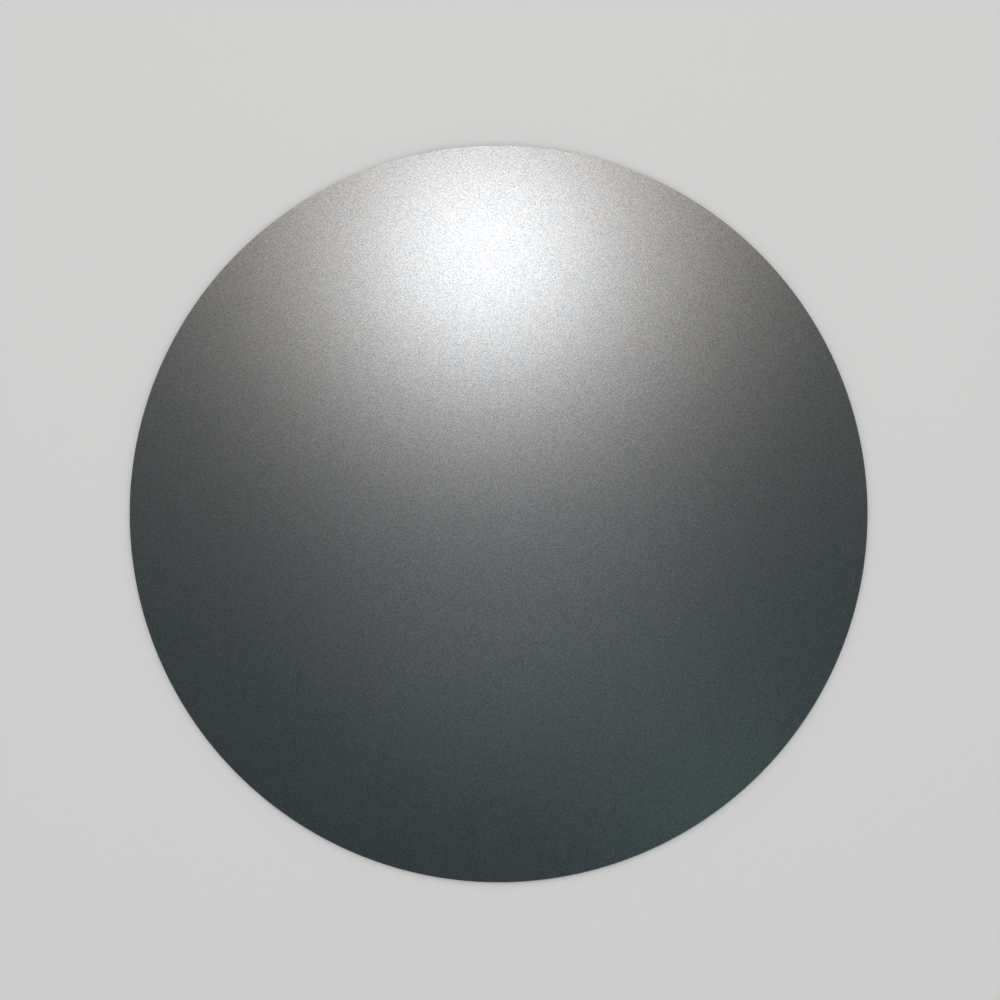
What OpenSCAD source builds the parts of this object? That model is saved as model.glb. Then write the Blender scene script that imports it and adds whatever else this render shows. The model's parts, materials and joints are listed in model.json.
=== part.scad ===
// Silicon wafer: one plain round disc sliced from a ground single crystal, then
// lapped and etched matte. Its rim is the crystal's own round wall, with no flat,
// no notch and no bevel, and etching has left a small round on both edges.
//
// Frame: the disc's axis is the Z axis, and its underside lies on z = 0.

/* [Disc] */
// Diameter of the disc, measured over its rim
wafer_d = 100; // [25:0.1:300]
// Thickness of the disc, between its two flat faces
wafer_t = 0.525; // [0.25:0.005:1.2]

/* [Rim] */
// Radius of the etched round along both edges of the rim
edge_r = 0.05; // [0.01:0.005:0.12]

/* [Hidden] */

$fa = 2;
$fs = 0.01;

silicon = [0.56, 0.58, 0.59];

// Quarter of a disc, between the +X and +Y directions.
module quarter_disc(r) {
    intersection() {
        circle(r);
        square(2 * r);
    }
}

// Half of the disc's section, from the axis out and from the middle plane up.
// Seen from the centre of the edge round, the flat face lies edge_r above and
// the wall edge_r to the right, so both run into the round along its tangent.
// The two blocks under them reach past the axis and the middle plane, where the
// section is cut off.
module upper_section() {
    intersection() {
        square([wafer_d, wafer_t]);
        translate([wafer_d / 2, wafer_t / 2]) translate([-edge_r, -edge_r]) {
            quarter_disc(edge_r);
            translate([-wafer_d, edge_r - wafer_t]) square([wafer_d, wafer_t]);
            translate([0, -wafer_t]) square([edge_r, wafer_t]);
        }
    }
}

// The disc: its section turned about the axis, with both faces and edges alike.
module wafer() {
    color(silicon) translate([0, 0, wafer_t / 2]) rotate_extrude() {
        upper_section();
        mirror([0, 1]) upper_section();
    }
}

wafer();
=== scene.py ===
"""Looks of a silicon wafer, lapped and etched matte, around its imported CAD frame.

The disc is revolved by Geometry Nodes from the same section as the solid: a flat
face, a small etched round, the wall, and their mirror below. Its finish is
procedural. All lengths are in metres, and the disc's underside lies on z = 0.
"""

import json
import math

import bmesh
import bpy
from bpy.props import FloatProperty, FloatVectorProperty, IntProperty, PointerProperty
from mathutils import Matrix, Vector


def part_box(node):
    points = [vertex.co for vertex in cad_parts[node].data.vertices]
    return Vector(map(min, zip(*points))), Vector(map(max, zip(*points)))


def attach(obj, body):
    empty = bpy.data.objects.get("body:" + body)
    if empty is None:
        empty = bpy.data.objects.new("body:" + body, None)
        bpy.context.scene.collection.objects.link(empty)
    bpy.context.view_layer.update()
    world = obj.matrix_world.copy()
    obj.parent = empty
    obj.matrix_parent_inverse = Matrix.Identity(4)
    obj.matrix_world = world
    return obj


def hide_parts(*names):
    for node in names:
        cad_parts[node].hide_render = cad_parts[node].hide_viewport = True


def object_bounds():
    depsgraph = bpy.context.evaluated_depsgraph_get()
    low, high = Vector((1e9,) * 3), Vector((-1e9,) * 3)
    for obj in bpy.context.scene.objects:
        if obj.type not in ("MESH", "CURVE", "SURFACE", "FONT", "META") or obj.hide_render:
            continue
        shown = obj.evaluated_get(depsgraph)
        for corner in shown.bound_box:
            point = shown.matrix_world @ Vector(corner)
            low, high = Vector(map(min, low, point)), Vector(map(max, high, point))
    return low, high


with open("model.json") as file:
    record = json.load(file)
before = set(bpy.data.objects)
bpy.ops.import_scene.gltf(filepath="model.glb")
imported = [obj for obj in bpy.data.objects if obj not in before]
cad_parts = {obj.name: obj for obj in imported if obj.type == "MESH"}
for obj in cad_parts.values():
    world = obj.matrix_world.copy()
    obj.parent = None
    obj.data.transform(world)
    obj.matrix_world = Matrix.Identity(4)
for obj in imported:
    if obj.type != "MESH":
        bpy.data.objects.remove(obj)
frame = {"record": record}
CAD_LOW, CAD_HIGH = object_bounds()

bl_info = {
    "name": "Silicon wafer",
    "version": (1, 0, 0),
    "blender": (4, 5, 0),
    "location": "3D View > Sidebar > Wafer",
    "description": "A round silicon wafer with an etched finish, on a plain studio floor",
    "category": "Add Mesh",
}

MM = 0.001
MICRON = 1e-6
CAD_NODE = "wafer"
BODY = "root"
SLOT = "etched_silicon"

# Nearly all of a noise's values lie in this range.
NOISE_RANGE = (0.25, 0.75)
# How strong each finer layer of a noise is, beside the layer before it.
NOISE_FALLOFF = 0.6
# Turns the grain, so that no face of the disc lies along the noise's own grid.
GRAIN_TURN = (math.radians(37), math.radians(53), math.radians(19))
# Where a Mix node has its share and its two colours, and the colour that it makes.
MIX_INPUTS = (0, 6, 7)
MIX_RESULT = 2

NODE_LOW, NODE_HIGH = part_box(CAD_NODE)
# The frame's mesh is faceted, so only its widest corner lies on the true radius.
CAD_RADIUS = max(abs(side) for side in (*NODE_LOW[:2], *NODE_HIGH[:2]))
CAD_THICKNESS = NODE_HIGH.z - NODE_LOW.z
SILICON = next(
    material["base_color"] for material in frame["record"]["materials"] if material["slot"] == SLOT
)


class WaferSizes(bpy.types.PropertyGroup):
    """The disc's own sizes, and how finely its mesh is divided"""

    diameter: FloatProperty(
        name="Diameter",
        description="Across the disc, over its rim",
        default=2 * CAD_RADIUS,
        min=25 * MM,
        max=300 * MM,
        subtype="DISTANCE",
        unit="LENGTH",
        precision=5,
    )
    thickness: FloatProperty(
        name="Thickness",
        description="Between the two flat faces",
        default=CAD_THICKNESS,
        min=0.25 * MM,
        max=1.2 * MM,
        subtype="DISTANCE",
        unit="LENGTH",
        precision=6,
    )
    edge_round: FloatProperty(
        name="Edge round",
        description="Radius of the etched round along both edges of the rim",
        default=0.05 * MM,
        min=0.01 * MM,
        max=0.12 * MM,
        subtype="DISTANCE",
        unit="LENGTH",
        precision=6,
    )
    segments: IntProperty(
        name="Segments",
        description="Straight sides that make up the round outline",
        default=480,
        min=64,
        max=720,
    )
    round_steps: IntProperty(
        name="Round steps",
        description="Strips across each edge round",
        default=8,
        min=2,
        max=16,
    )
    face_rings: IntProperty(
        name="Face rings",
        description="Rings of faces between the disc's centre and its edge round",
        default=12,
        min=1,
        max=40,
    )


class EtchedFinish(bpy.types.PropertyGroup):
    """Colours and texture of the lapped and etched silicon"""

    silicon: FloatVectorProperty(
        name="Silicon",
        description="Mean colour of the etched face",
        default=SILICON,
        subtype="COLOR",
        size=3,
        min=0,
        max=1,
    )
    gloss_roughness: FloatProperty(
        name="Roughness",
        description="Mean roughness of the satin face",
        default=0.293,
        min=0,
        max=1,
        subtype="FACTOR",
    )
    roughness_spread: FloatProperty(
        name="Roughness spread",
        description="How far the roughness strays from its mean, either way",
        default=0.008,
        min=0,
        max=0.2,
    )
    grain_size: FloatProperty(
        name="Grain size",
        description="Spacing of the etched grain",
        default=0.14 * MM,
        min=0.05 * MM,
        max=2 * MM,
        subtype="DISTANCE",
        unit="LENGTH",
        precision=6,
    )
    grain_contrast: FloatProperty(
        name="Grain contrast",
        description="How much lighter or darker than the mean a grain is",
        default=0.43,
        min=0,
        max=1,
        subtype="FACTOR",
    )
    relief_size: FloatProperty(
        name="Relief size",
        description="Spacing of the shallow etch pits that glint",
        default=0.18 * MM,
        min=0.05 * MM,
        max=2 * MM,
        subtype="DISTANCE",
        unit="LENGTH",
        precision=6,
    )
    relief_depth: FloatProperty(
        name="Relief depth",
        description="Depth of the etch pits",
        default=5 * MICRON,
        min=0,
        max=100 * MICRON,
        subtype="DISTANCE",
        unit="LENGTH",
        precision=8,
    )
    mottle_size: FloatProperty(
        name="Mottle size",
        description="Spacing of the faint patches of colour",
        default=1.8 * MM,
        min=0.2 * MM,
        max=20 * MM,
        subtype="DISTANCE",
        unit="LENGTH",
        precision=5,
    )
    mottle_tint: FloatVectorProperty(
        name="Mottle tint",
        description="Colour of the warmest patches; the coolest ones stray the other way",
        default=(1.035, 1.0, 0.975),
        size=3,
        min=0.8,
        max=1.2,
    )


def place_property(place):
    """Where the middle of a lamp is."""
    return FloatVectorProperty(
        name="Place",
        description="Middle of the lamp, which faces the wafer",
        default=place,
        size=3,
        subtype="TRANSLATION",
        unit="LENGTH",
        precision=4,
    )


def diameter_property(diameter):
    """How wide a round lamp is."""
    return FloatProperty(
        name="Diameter",
        description="Across the round face of the lamp",
        default=diameter,
        min=10 * MM,
        max=2,
        subtype="DISTANCE",
        unit="LENGTH",
    )


def power_property(power):
    """How much light a lamp gives."""
    return FloatProperty(
        name="Power",
        description="Light that the lamp gives",
        default=power,
        min=0,
        max=100,
        subtype="POWER",
        unit="POWER",
        precision=4,
    )


def colour_property(what, colour):
    """The colour of one thing in the studio."""
    return FloatVectorProperty(
        name="Colour",
        description=f"Colour of the {what}",
        default=colour,
        subtype="COLOR",
        size=3,
        min=0,
        max=1,
    )


class KeyLamp(bpy.types.PropertyGroup):
    """The small lamp that lights the heart of the glow on the wafer's far half"""

    place: place_property((-5.4 * MM, 106.3 * MM, 300 * MM))
    diameter: diameter_property(55.1 * MM)
    power: power_property(0.0653)
    colour: colour_property("key lamp's light", (0.886, 0.937, 1.0))


class HaloLamp(bpy.types.PropertyGroup):
    """The wide, dimmer, warm lamp that lights the soft halo round that heart"""

    place: place_property((-6.1 * MM, 132.4 * MM, 300 * MM))
    diameter: diameter_property(182.8 * MM)
    power: power_property(0.068)
    colour: colour_property("halo lamp's light", (1.0, 0.739, 0.553))


class OverheadLamp(bpy.types.PropertyGroup):
    """The dim panel straight overhead"""

    place: place_property((5.7 * MM, -14.3 * MM, 400 * MM))
    diameter: diameter_property(144.3 * MM)
    power: power_property(0.01078)
    colour: colour_property("overhead lamp's light", (0.836, 0.885, 1.0))


class CornerLamp(bpy.types.PropertyGroup):
    """The faint, cool lamp at the near right"""

    place: place_property((95.3 * MM, -106.6 * MM, 400 * MM))
    diameter: diameter_property(60 * MM)
    power: power_property(0.00288)
    colour: colour_property("corner lamp's light", (0.58, 1.0, 1.0))


class StudioLook(bpy.types.PropertyGroup):
    """The floor, the light and the camera"""

    floor_colour: FloatVectorProperty(
        name="Floor colour",
        description="Colour of the plain floor",
        default=(0.86, 0.86, 0.857),
        subtype="COLOR",
        size=3,
        min=0,
        max=1,
    )
    floor_glow: FloatProperty(
        name="Floor glow",
        description="How much paler the floor looks than the light alone makes it",
        default=0.1,
        min=0,
        max=1,
    )
    floor_size: FloatProperty(
        name="Floor size",
        description="Side of the square floor",
        default=6.0,
        min=1,
        max=20,
        subtype="DISTANCE",
        unit="LENGTH",
    )
    ceiling_colour: FloatVectorProperty(
        name="Ceiling colour",
        description="Colour of the dim studio overhead",
        default=(0.0043, 0.0225, 0.0253),
        subtype="COLOR",
        size=3,
        min=0,
        max=1,
    )
    wall_colour: FloatVectorProperty(
        name="Wall colour",
        description="Colour of the bright studio walls",
        default=(1.0, 1.0, 1.0),
        subtype="COLOR",
        size=3,
        min=0,
        max=1,
    )
    wall_foot_strength: FloatProperty(
        name="Wall foot strength",
        description="How brightly the studio walls shine near the floor",
        default=0.55,
        min=0,
        max=4,
    )
    wall_top_strength: FloatProperty(
        name="Wall top strength",
        description="How brightly the studio walls shine below the ceiling",
        default=1.0,
        min=0,
        max=4,
    )
    ceiling_reach: FloatProperty(
        name="Ceiling reach",
        description="Angle from the middle of the ceiling to its soft edge",
        default=math.radians(39),
        min=0,
        max=math.radians(80),
        subtype="ANGLE",
        unit="ROTATION",
    )
    ceiling_tilt: FloatProperty(
        name="Ceiling tilt",
        description="How far the middle of the ceiling leans to the near side",
        default=math.radians(5),
        min=0,
        max=math.radians(30),
        subtype="ANGLE",
        unit="ROTATION",
    )
    ceiling_blur: FloatProperty(
        name="Ceiling blur",
        description="Half of the angle over which the ceiling's edge fades",
        default=math.radians(6),
        min=math.radians(1),
        max=math.radians(30),
        subtype="ANGLE",
        unit="ROTATION",
    )
    camera_lens: FloatProperty(
        name="Lens",
        description="Focal length of the camera",
        default=50,
        min=20,
        max=200,
        subtype="DISTANCE_CAMERA",
        unit="CAMERA",
    )
    camera_elevation: FloatProperty(
        name="Camera elevation",
        description="Angle of the camera above the floor",
        default=math.radians(86.7),
        min=0,
        max=math.radians(89.9),
        subtype="ANGLE",
        unit="ROTATION",
    )
    camera_distance: FloatProperty(
        name="Camera distance",
        description="From the camera to the point that it looks at",
        default=188.17 * MM,
        min=50 * MM,
        max=5,
        subtype="DISTANCE",
        unit="LENGTH",
        precision=5,
    )
    camera_aim: FloatVectorProperty(
        name="Camera aim",
        description="Point on the upper face that the camera looks at",
        default=(0.19 * MM, 1.104 * MM),
        size=2,
        subtype="TRANSLATION",
        unit="LENGTH",
        precision=5,
    )


def add_node(tree, kind, **settings):
    """A new node of this kind, with its own options set."""
    node = tree.nodes.new(kind)
    for name, value in settings.items():
        setattr(node, name, value)
    return node


def plug(tree, socket, source):
    """Links a socket to an output, or sets anything else as its value."""
    if isinstance(source, bpy.types.NodeSocket):
        tree.links.new(source, socket)
    else:
        socket.default_value = source


def feed(tree, node, **sources):
    """Fills a node's inputs by name, and gives the node back."""
    for name, source in sources.items():
        plug(tree, node.inputs[name.replace("_", " ")], source)
    return node


def number(tree, operation, first, second=0.0):
    """The result of a sum on two numbers, either of which may come from a socket."""
    node = add_node(tree, "ShaderNodeMath", operation=operation)
    for socket, source in zip(node.inputs, (first, second)):
        plug(tree, socket, source)
    return node.outputs["Value"]


def point(tree, x=0.0, y=0.0, z=0.0):
    """A point, any of whose coordinates may come from a socket."""
    return feed(tree, add_node(tree, "ShaderNodeCombineXYZ"), X=x, Y=y, Z=z).outputs["Vector"]


def moved(tree, geometry, **change):
    """A geometry that is moved or scaled."""
    node = add_node(tree, "GeometryNodeTransform")
    return feed(tree, node, Geometry=geometry, **change).outputs["Geometry"]


def joined(tree, *pieces):
    """Several geometries as one."""
    node = add_node(tree, "GeometryNodeJoinGeometry")
    for piece in pieces:
        tree.links.new(piece, node.inputs["Geometry"])
    return node.outputs["Geometry"]


def straight(tree, start, end):
    """A straight stretch of the section."""
    node = add_node(tree, "GeometryNodeCurvePrimitiveLine", mode="POINTS")
    return feed(tree, node, Start=start, End=end).outputs["Curve"]


def flat_face(tree, axis, shoulder, half_thickness, face_rings):
    """The flat face's stretch of the section, from the axis to the round, cut into rings."""
    line = straight(tree, point(tree, axis, half_thickness), point(tree, shoulder, half_thickness))
    face = add_node(tree, "GeometryNodeResampleCurve", mode="COUNT")
    feed(tree, face, Curve=line, Count=number(tree, "ADD", face_rings, 1.0))
    return face.outputs["Curve"]


def quarter_round(tree, edge_round, round_steps, centre):
    """The quarter circle that turns the section from the face down to the wall."""
    arc = add_node(tree, "GeometryNodeCurveArc", mode="RADIUS")
    feed(
        tree,
        arc,
        Resolution=number(tree, "ADD", round_steps, 1.0),
        Radius=edge_round,
        Start_Angle=math.pi / 2,
        Sweep_Angle=-math.pi / 2,
    )
    return moved(tree, arc.outputs["Curve"], Translation=centre)


def upper_section(tree, given, radius, half_thickness):
    """Half of the disc's section, from the axis to the middle plane.

    The wall lies at x = 0 and the axis at x = -radius. The flat face and the wall
    both run into the round along its tangent.
    """
    edge_round = given["Edge round"]
    axis = number(tree, "MULTIPLY", radius, -1.0)
    shoulder = number(tree, "MULTIPLY", edge_round, -1.0)
    wall_top = number(tree, "SUBTRACT", half_thickness, edge_round)
    return joined(
        tree,
        flat_face(tree, axis, shoulder, half_thickness, given["Face rings"]),
        quarter_round(tree, edge_round, given["Round steps"], point(tree, shoulder, wall_top)),
        straight(tree, point(tree, y=wall_top), point(tree)),
    )


def whole_section(tree, upper):
    """The upper half of the section and its mirror below the middle plane."""
    lower = add_node(tree, "GeometryNodeReverseCurve")
    feed(tree, lower, Curve=moved(tree, upper, Scale=(1.0, -1.0, 1.0)))
    return joined(tree, upper, lower.outputs["Curve"])


def is_round(tree):
    """True on the wall and the rounds, which shade smooth, and false on the flat faces."""
    flat_face_normal = 0.9999
    normal = add_node(tree, "GeometryNodeInputNormal")
    parts = feed(tree, add_node(tree, "ShaderNodeSeparateXYZ"), Vector=normal.outputs["Normal"])
    steepness = number(tree, "ABSOLUTE", parts.outputs["Z"])
    return number(tree, "LESS_THAN", steepness, flat_face_normal)


def disc_tree():
    """The Geometry Nodes tree that turns the disc's section about its axis."""
    tree = bpy.data.node_groups.new("revolved_disc", "GeometryNodeTree")
    for name, kind in (
        ("Diameter", "NodeSocketFloat"),
        ("Thickness", "NodeSocketFloat"),
        ("Edge round", "NodeSocketFloat"),
        ("Segments", "NodeSocketInt"),
        ("Round steps", "NodeSocketInt"),
        ("Face rings", "NodeSocketInt"),
        ("Merge distance", "NodeSocketFloat"),
        ("Finish", "NodeSocketMaterial"),
    ):
        tree.interface.new_socket(name=name, in_out="INPUT", socket_type=kind)
    tree.interface.new_socket(name="Geometry", in_out="OUTPUT", socket_type="NodeSocketGeometry")

    given = add_node(tree, "NodeGroupInput").outputs
    radius = number(tree, "MULTIPLY", given["Diameter"], 0.5)
    half_thickness = number(tree, "MULTIPLY", given["Thickness"], 0.5)
    section = whole_section(tree, upper_section(tree, given, radius, half_thickness))
    rim = add_node(tree, "GeometryNodeCurvePrimitiveCircle", mode="RADIUS")
    feed(tree, rim, Resolution=given["Segments"], Radius=radius)

    revolved = add_node(tree, "GeometryNodeCurveToMesh")
    feed(tree, revolved, Curve=rim.outputs["Curve"], Profile_Curve=section)
    merged = add_node(tree, "GeometryNodeMergeByDistance")
    feed(tree, merged, Geometry=revolved.outputs["Mesh"], Distance=given["Merge distance"])
    lifted = moved(tree, merged.outputs["Geometry"], Translation=point(tree, z=half_thickness))
    shaded = add_node(tree, "GeometryNodeSetShadeSmooth")
    feed(tree, shaded, Geometry=lifted, Shade_Smooth=is_round(tree))
    realized = add_node(tree, "GeometryNodeRealizeInstances")
    feed(tree, realized, Geometry=shaded.outputs["Geometry"])
    finished = add_node(tree, "GeometryNodeSetMaterial")
    feed(tree, finished, Geometry=realized.outputs["Geometry"], Material=given["Finish"])
    feed(tree, add_node(tree, "NodeGroupOutput"), Geometry=finished.outputs["Geometry"])
    return tree


def run_tree(name, tree, values):
    """The plain mesh that a Geometry Nodes tree makes with these named values, as a new object."""
    piece = bpy.data.objects.new(name, bpy.data.meshes.new(name))
    bpy.context.scene.collection.objects.link(piece)
    maker = piece.modifiers.new("maker", "NODES")
    maker.node_group = tree
    for item in tree.interface.items_tree:
        if item.in_out == "INPUT":
            maker[item.identifier] = values[item.name]
    finished = piece.evaluated_get(bpy.context.evaluated_depsgraph_get())
    mesh = bpy.data.meshes.new_from_object(finished)
    piece.modifiers.clear()
    empty = piece.data
    piece.data = mesh
    bpy.data.meshes.remove(empty)
    mesh.name = name
    return piece


def face_outwards(piece):
    """Turns every face of a closed piece outwards."""
    shell = bmesh.new()
    shell.from_mesh(piece.data)
    bmesh.ops.recalc_face_normals(shell, faces=shell.faces)
    shell.to_mesh(piece.data)
    shell.free()


def mapped(tree, value, from_range, to_range):
    """A number carried from one range to another and held inside it."""
    node = add_node(tree, "ShaderNodeMapRange", clamp=True)
    for socket, source in zip(node.inputs, (value, *from_range, *to_range)):
        plug(tree, socket, source)
    return node.outputs["Result"]


def faded(tree, value, dark_end, bright_end):
    """A smooth step, from 0 where the value is at its dark end to 1 at its bright end."""
    node = add_node(tree, "ShaderNodeMapRange", interpolation_type="SMOOTHSTEP")
    feed(tree, node, Value=value, From_Min=dark_end, From_Max=bright_end)
    return node.outputs["Result"]


def opaque(colour):
    """A colour with the alpha that a colour socket takes."""
    return (*colour, 1.0)


def blended(tree, share, first, second):
    """Two colours mixed by a share of the second."""
    node = add_node(tree, "ShaderNodeMix", data_type="RGBA")
    for place, source in zip(MIX_INPUTS, (share, first, second)):
        plug(tree, node.inputs[place], source)
    return node.outputs[MIX_RESULT]


def noise(tree, place, spacing, detail):
    """Fractal noise with this spacing between its features."""
    node = add_node(tree, "ShaderNodeTexNoise", noise_dimensions="3D")
    feed(tree, node, Vector=place, Scale=1 / spacing, Detail=detail, Roughness=NOISE_FALLOFF)
    return node.outputs["Fac"]


def mottled_silicon(tree, look, place):
    """The silicon's colour, in faint patches that are a touch warmer or cooler."""
    warm = [colour * tint for colour, tint in zip(look.silicon, look.mottle_tint)]
    cool = [colour / tint for colour, tint in zip(look.silicon, look.mottle_tint)]
    mottle = noise(tree, place, look.mottle_size, detail=2.0)
    warmth = mapped(tree, mottle, NOISE_RANGE, (0.0, 1.0))
    return blended(tree, warmth, opaque(cool), opaque(warm))


def etch_relief(tree, look, place):
    """Shallow pits that tilt the surface from spot to spot, so that it glints."""
    pits = noise(tree, place, look.relief_size, detail=0.0)
    relief = add_node(tree, "ShaderNodeBump")
    feed(tree, relief, Strength=1.0, Distance=look.relief_depth, Height=pits)
    return relief.outputs["Normal"]


def etched_silicon(look):
    """Satin silicon: an even, fine etched grain over the faintest mottle of tint."""
    material = bpy.data.materials.new("lapped_etched_silicon")
    material.use_nodes = True
    tree = material.node_tree
    own_place = add_node(tree, "ShaderNodeTexCoord").outputs["Object"]
    turned = add_node(tree, "ShaderNodeMapping")
    place = feed(tree, turned, Vector=own_place, Rotation=GRAIN_TURN).outputs["Vector"]

    grain = noise(tree, place, look.grain_size, detail=1.0)
    darkest, brightest = 1 - look.grain_contrast, 1 + look.grain_contrast
    roughest = look.gloss_roughness + look.roughness_spread
    smoothest = look.gloss_roughness - look.roughness_spread
    colour = add_node(tree, "ShaderNodeVectorMath", operation="SCALE")
    feed(
        tree,
        colour,
        Vector=mottled_silicon(tree, look, place),
        Scale=mapped(tree, grain, NOISE_RANGE, (darkest, brightest)),
    )
    feed(
        tree,
        tree.nodes["Principled BSDF"],
        Base_Color=colour.outputs["Vector"],
        Metallic=1.0,
        Roughness=mapped(tree, grain, NOISE_RANGE, (roughest, smoothest)),
        Normal=etch_relief(tree, look, place),
    )
    return material


class WAFER_OT_make_disc(bpy.types.Operator):
    """Make the etched silicon disc in place of its CAD solid"""

    bl_idname = "wafer.make_disc"
    bl_label = "Wafer disc"

    def execute(self, context):
        sizes = context.scene.wafer_sizes
        values = {
            "Diameter": sizes.diameter,
            "Thickness": sizes.thickness,
            "Edge round": sizes.edge_round,
            "Segments": sizes.segments,
            "Round steps": sizes.round_steps,
            "Face rings": sizes.face_rings,
            "Merge distance": MICRON,
            "Finish": etched_silicon(context.scene.etched_finish),
        }
        disc = run_tree("etched_wafer", disc_tree(), values)
        face_outwards(disc)
        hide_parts(CAD_NODE)
        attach(disc, BODY)
        return {"FINISHED"}


def floor_card(look):
    """Pale matte card, with a glow that is seen but casts no light, so the shadow stays."""
    matte, faint_shine = 0.9, 0.2
    material = bpy.data.materials.new("floor_card")
    material.use_nodes = True
    tree = material.node_tree
    rays = add_node(tree, "ShaderNodeLightPath").outputs
    seen = number(tree, "MAXIMUM", rays["Is Camera Ray"], rays["Is Glossy Ray"])
    seen = number(tree, "MAXIMUM", seen, rays["Is Transmission Ray"])
    feed(
        tree,
        tree.nodes["Principled BSDF"],
        Base_Color=opaque(look.floor_colour),
        Roughness=matte,
        Specular_IOR_Level=faint_shine,
        Emission_Color=opaque(look.floor_colour),
        Emission_Strength=number(tree, "MULTIPLY", seen, look.floor_glow),
    )
    return material


def make_floor(look):
    """The plain square floor that the wafer lies on."""
    mesh = bpy.data.meshes.new("studio_floor")
    plane = bmesh.new()
    underside = Matrix.Translation((0, 0, CAD_LOW.z))
    bmesh.ops.create_grid(
        plane, x_segments=1, y_segments=1, size=look.floor_size / 2, matrix=underside
    )
    plane.to_mesh(mesh)
    plane.free()
    floor = bpy.data.objects.new("studio_floor", mesh)
    bpy.context.scene.collection.objects.link(floor)
    mesh.materials.append(floor_card(look))


def make_lamp(name, look):
    """A round soft lamp that faces the wafer."""
    light = bpy.data.lights.new(name, "AREA")
    light.shape = "DISK"
    light.size = look.diameter
    light.energy = look.power
    light.color = look.colour
    lamp = bpy.data.objects.new(name, light)
    lamp.location = look.place
    lamp.rotation_euler = (-Vector(look.place)).to_track_quat("-Z", "Y").to_euler()
    lamp.visible_camera = False
    bpy.context.scene.collection.objects.link(lamp)


def studio_walls(tree, look, direction):
    """The walls' light, which grows from their foot to their top."""
    foot_end, top_start = math.radians(10), math.radians(40)
    height = feed(tree, add_node(tree, "ShaderNodeSeparateXYZ"), Vector=direction).outputs["Z"]
    foot = [colour * look.wall_foot_strength for colour in look.wall_colour]
    top = [colour * look.wall_top_strength for colour in look.wall_colour]
    share_of_top = faded(tree, height, math.sin(foot_end), math.sin(top_start))
    return blended(tree, share_of_top, opaque(foot), opaque(top))


def share_of_walls(tree, look, direction):
    """From 0 inside the ceiling to 1 outside its soft edge."""
    ceiling_middle = (0, -math.sin(look.ceiling_tilt), math.cos(look.ceiling_tilt))
    nearness = add_node(tree, "ShaderNodeVectorMath", operation="DOT_PRODUCT")
    for socket, source in zip(nearness.inputs, (direction, ceiling_middle)):
        plug(tree, socket, source)
    return faded(
        tree,
        nearness.outputs["Value"],
        math.cos(look.ceiling_reach - look.ceiling_blur),
        math.cos(look.ceiling_reach + look.ceiling_blur),
    )


def make_surroundings(look):
    """Bright studio walls all round, with a dim, soft-edged ceiling over them."""
    world = bpy.data.worlds.new("studio")
    bpy.context.scene.world = world
    world.use_nodes = True
    tree = world.node_tree
    direction = add_node(tree, "ShaderNodeTexCoord").outputs["Generated"]
    room = blended(
        tree,
        share_of_walls(tree, look, direction),
        opaque(look.ceiling_colour),
        studio_walls(tree, look, direction),
    )
    feed(tree, tree.nodes["Background"], Color=room)


def make_camera(look, face_height):
    """The camera, almost straight above the wafer."""
    nearest, farthest = 10 * MM, 50.0
    lens = bpy.data.cameras.new("camera")
    lens.lens = look.camera_lens
    lens.clip_start, lens.clip_end = nearest, farthest
    camera = bpy.data.objects.new("camera", lens)
    aim = Vector((*look.camera_aim, face_height))
    back = Vector((0, -math.cos(look.camera_elevation), math.sin(look.camera_elevation)))
    camera.location = aim + look.camera_distance * back
    camera.rotation_euler = (-back).to_track_quat("-Z", "Y").to_euler()
    bpy.context.scene.collection.objects.link(camera)
    bpy.context.scene.camera = camera


class WAFER_OT_set_stage(bpy.types.Operator):
    """Lay the pale floor and set the soft light and the camera"""

    bl_idname = "wafer.set_stage"
    bl_label = "Studio stage"

    def execute(self, context):
        scene = context.scene
        make_floor(scene.studio_look)
        make_lamp("key_lamp", scene.key_lamp)
        make_lamp("halo_lamp", scene.halo_lamp)
        make_lamp("overhead_lamp", scene.overhead_lamp)
        make_lamp("corner_lamp", scene.corner_lamp)
        make_surroundings(scene.studio_look)
        make_camera(scene.studio_look, scene.wafer_sizes.thickness)
        scene.view_settings.view_transform = "Standard"
        return {"FINISHED"}


class WAFER_PT_panel(bpy.types.Panel):
    """Sizes, colours and buttons of the silicon wafer"""

    bl_idname = "WAFER_PT_panel"
    bl_label = "Silicon wafer"
    bl_space_type = "VIEW_3D"
    bl_region_type = "UI"
    bl_category = "Wafer"

    def draw(self, context):
        for group, kind in SETTINGS.items():
            box = self.layout.box()
            box.label(text=group.replace("_", " ").capitalize())
            for name in kind.__annotations__:
                box.prop(getattr(context.scene, group), name)
        for maker in MAKERS:
            self.layout.operator(maker.bl_idname)


SETTINGS = {
    "wafer_sizes": WaferSizes,
    "etched_finish": EtchedFinish,
    "studio_look": StudioLook,
    "key_lamp": KeyLamp,
    "halo_lamp": HaloLamp,
    "overhead_lamp": OverheadLamp,
    "corner_lamp": CornerLamp,
}
MAKERS = (WAFER_OT_make_disc, WAFER_OT_set_stage)
CLASSES = (*SETTINGS.values(), *MAKERS, WAFER_PT_panel)


def register():
    """Adds the classes, and keeps their settings on the scene."""
    for kind in CLASSES:
        bpy.utils.register_class(kind)
    for name, kind in SETTINGS.items():
        setattr(bpy.types.Scene, name, PointerProperty(type=kind))


def unregister():
    """Takes the settings and the classes away again."""
    for name in SETTINGS:
        delattr(bpy.types.Scene, name)
    for kind in reversed(CLASSES):
        bpy.utils.unregister_class(kind)


def main():
    """Makes the wafer and its stage."""
    register()
    bpy.ops.wafer.make_disc()
    bpy.ops.wafer.set_stage()


if __name__ == "__main__":
    main()
